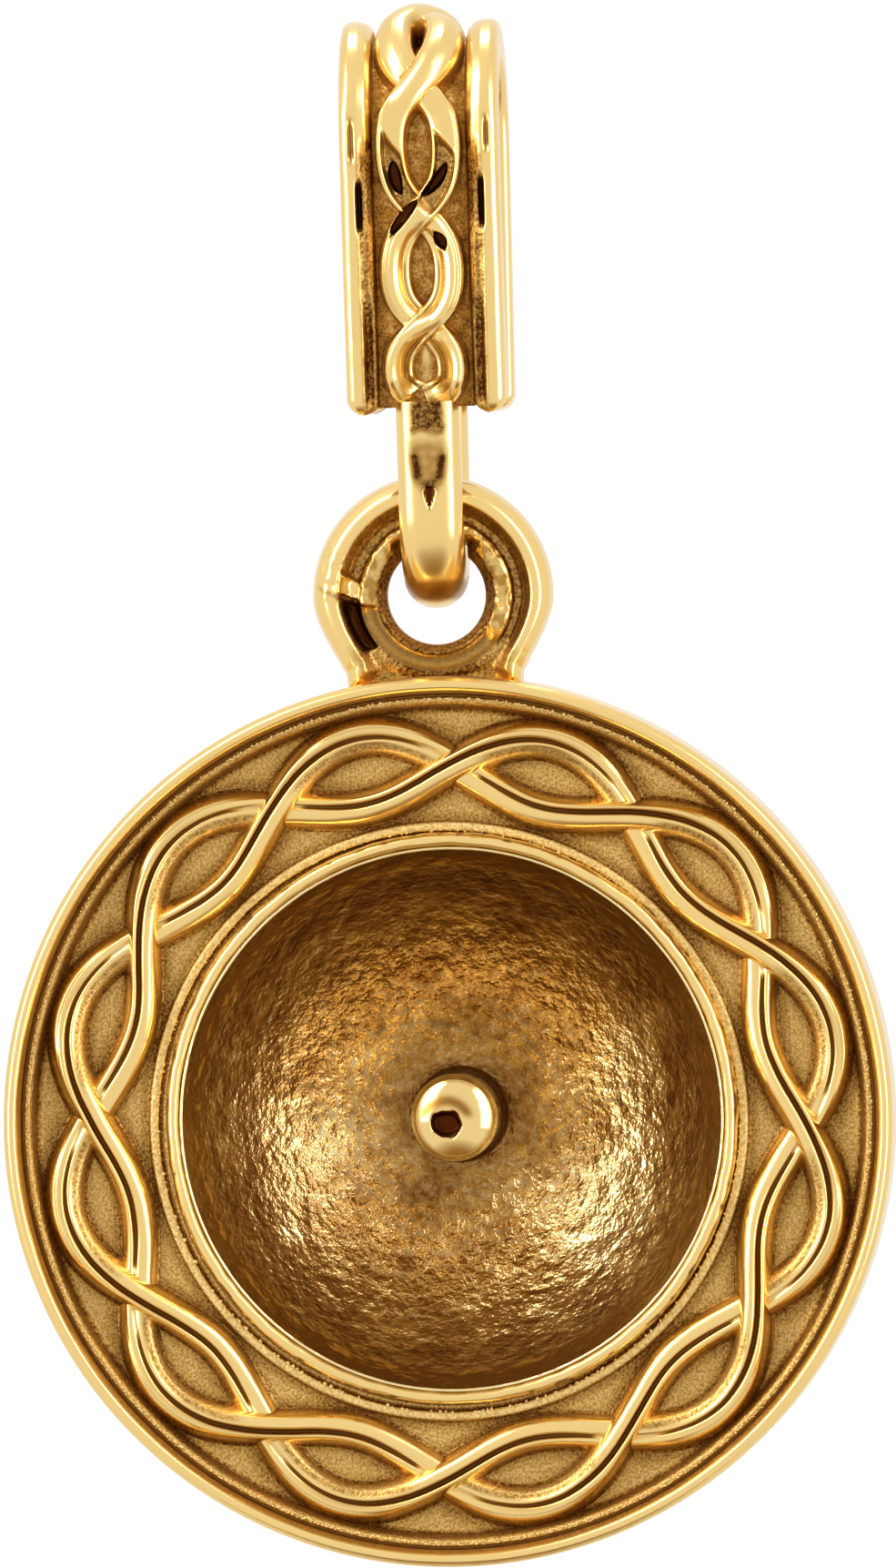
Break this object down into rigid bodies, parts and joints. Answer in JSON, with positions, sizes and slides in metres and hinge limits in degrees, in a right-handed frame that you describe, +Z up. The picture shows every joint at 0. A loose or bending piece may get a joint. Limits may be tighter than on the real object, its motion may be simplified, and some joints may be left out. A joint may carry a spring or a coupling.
{
  "type": "pearl pendant mounting",
  "caption": "Round gold pendant mounting: a twisted rope border round an empty pearl cup with a post, hung by a ring from a relief bail.",
  "frame": {"origin": "inside of the bail's top, where a chain bears on it and the whole part hangs", "axes": "+Z up, the cup and the rope border face -Y, +X to the right seen from the front"},
  "size_m": [0.011, 0.0037, 0.0192],
  "materials": {
    "gold": "polished"
  },
  "bodies": {
    "bail": {"bail": "gold"},
    "pendant": {"pendant": "gold"}
  },
  "joints": [
    {"name": "pendant_swing", "type": "hinge", "parent": "bail", "child": "pendant", "pos_m": [0, 0, -0.00556], "axis": [1, 0, 0], "range_deg": [-100, 100]}
  ]
}
